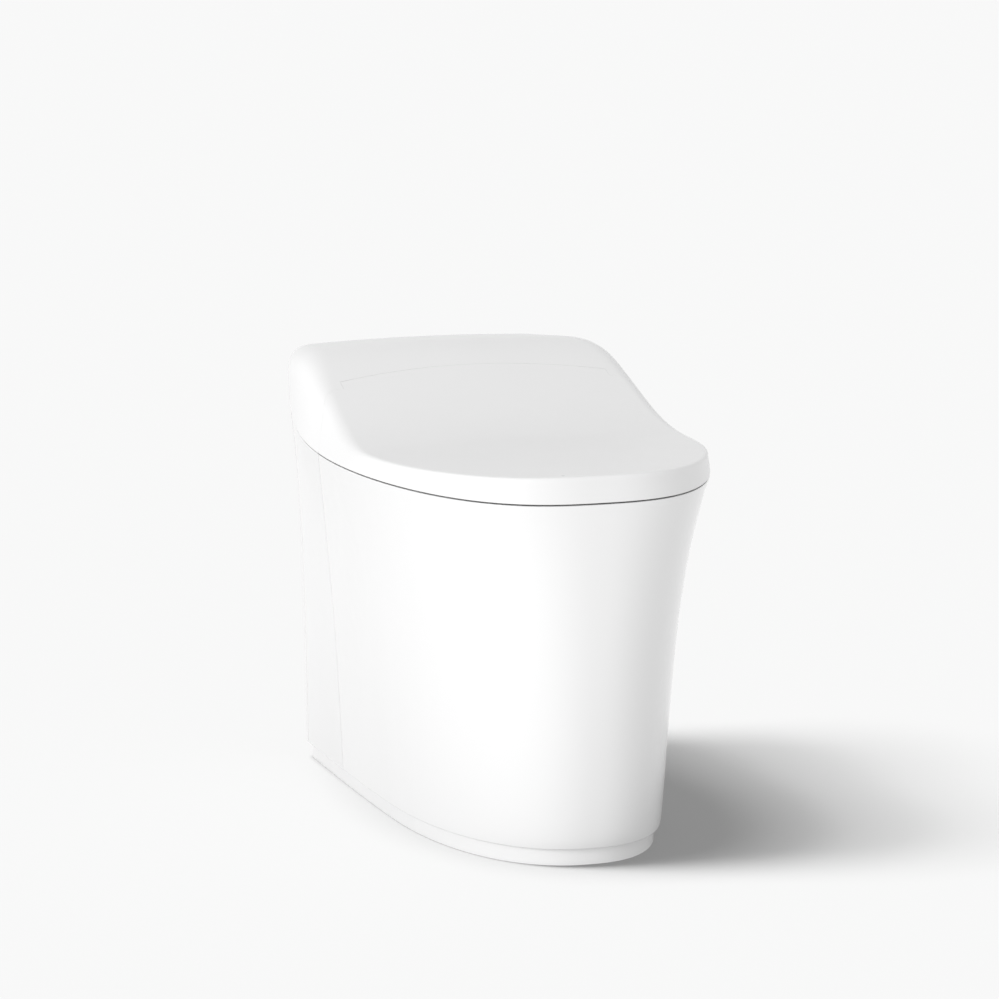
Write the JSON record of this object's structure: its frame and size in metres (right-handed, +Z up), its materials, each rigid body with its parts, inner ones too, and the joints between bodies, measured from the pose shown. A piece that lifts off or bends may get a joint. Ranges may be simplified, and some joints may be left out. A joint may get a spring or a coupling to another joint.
{
  "type": "one-piece smart toilet",
  "caption": "Skirted one-piece washing toilet with a hinged lid and seat, rear cover, side panels and a sliding wand.",
  "frame": {"origin": "middle of the bounding box on the floor plane", "axes": "+Y towards the wall behind the toilet, +X to the right seen from the front, +Z up"},
  "size_m": [0.426, 0.68, 0.5213],
  "materials": {
    "glazed_ceramic": "glossy white glaze",
    "cover_plastic": "satin white plastic",
    "seat_plastic": "satin white plastic",
    "trim_plastic": "white plastic",
    "grey_plastic": "matt grey plastic",
    "dark_plastic": "matt dark plastic",
    "steel": "stainless steel",
    "rubber": "soft dark rubber",
    "brass": "plain brass"
  },
  "bodies": {
    "toilet": {"bracket_screw_left": "steel", "bracket_screw_right": "steel", "button_switch": "dark_plastic", "ceramic_body": "glazed_ceramic", "chassis_screw_left": "steel", "chassis_screw_right": "steel", "control_box": "dark_plastic", "fan_housing": "dark_plastic", "filter_guide": "dark_plastic", "floor_bracket_left": "steel", "floor_bracket_right": "steel", "flush_pump": "dark_plastic", "flush_reservoir": "grey_plastic", "heater_tank": "grey_plastic", "hinge_shaft": "steel", "inlet_fitting": "brass", "inlet_valve": "dark_plastic", "nozzle_housing": "grey_plastic", "outlet_seal": "rubber", "power_gland": "dark_plastic", "rear_cover": "cover_plastic", "shaft_cap_left": "dark_plastic", "shaft_cap_right": "dark_plastic", "side_panel_left": "cover_plastic", "side_panel_right": "cover_plastic", "unit_chassis": "grey_plastic"},
    "seat": {"seat": "seat_plastic", "seat_bumper_front_left": "rubber", "seat_bumper_front_right": "rubber", "seat_bumper_rear_left": "rubber", "seat_bumper_rear_right": "rubber"},
    "lid": {"lid": "cover_plastic", "lid_bumper_left": "rubber", "lid_bumper_right": "rubber"},
    "wand": {"nozzle_wand": "steel", "wand_tip": "trim_plastic"},
    "flush_button": {"button_flush": "trim_plastic"},
    "wash_button": {"button_wash": "trim_plastic"},
    "filter": {"filter_cartridge": "grey_plastic"},
    "fan": {"fan_impeller": "grey_plastic"}
  },
  "joints": [
    {"name": "seat_hinge", "type": "hinge", "parent": "toilet", "child": "seat", "pos_m": [0, 0.0982, 0.48343], "axis": [-1, 0, 0], "range_deg": [0, 90]},
    {"name": "lid_hinge", "type": "hinge", "parent": "seat", "child": "lid", "pos_m": [0, 0.0982, 0.48343], "axis": [1, 0, 0], "range_deg": [-90, 0]},
    {"name": "wand_slide", "type": "slide", "parent": "toilet", "child": "wand", "axis": [0, -0.9397, -0.342], "range_m": [0, 0.12]},
    {"name": "flush_button_press", "type": "slide", "parent": "toilet", "child": "flush_button", "axis": [-0.9698, -0.2416, 0.0341], "range_m": [0, 0.0012], "stiffness_N_per_m": 800, "springref_m": -0.0015},
    {"name": "wash_button_press", "type": "slide", "parent": "toilet", "child": "wash_button", "axis": [-0.9742, -0.2174, 0.0607], "range_m": [0, 0.0012], "stiffness_N_per_m": 800, "springref_m": -0.0015},
    {"name": "filter_slide", "type": "slide", "parent": "toilet", "child": "filter", "axis": [1, 0, 0], "range_m": [0, 0.045]},
    {"name": "fan_spin", "type": "hinge", "parent": "toilet", "child": "fan", "pos_m": [0.07002, 0.183, 0.43264], "axis": [0, 0, 1], "continuous": true}
  ]
}
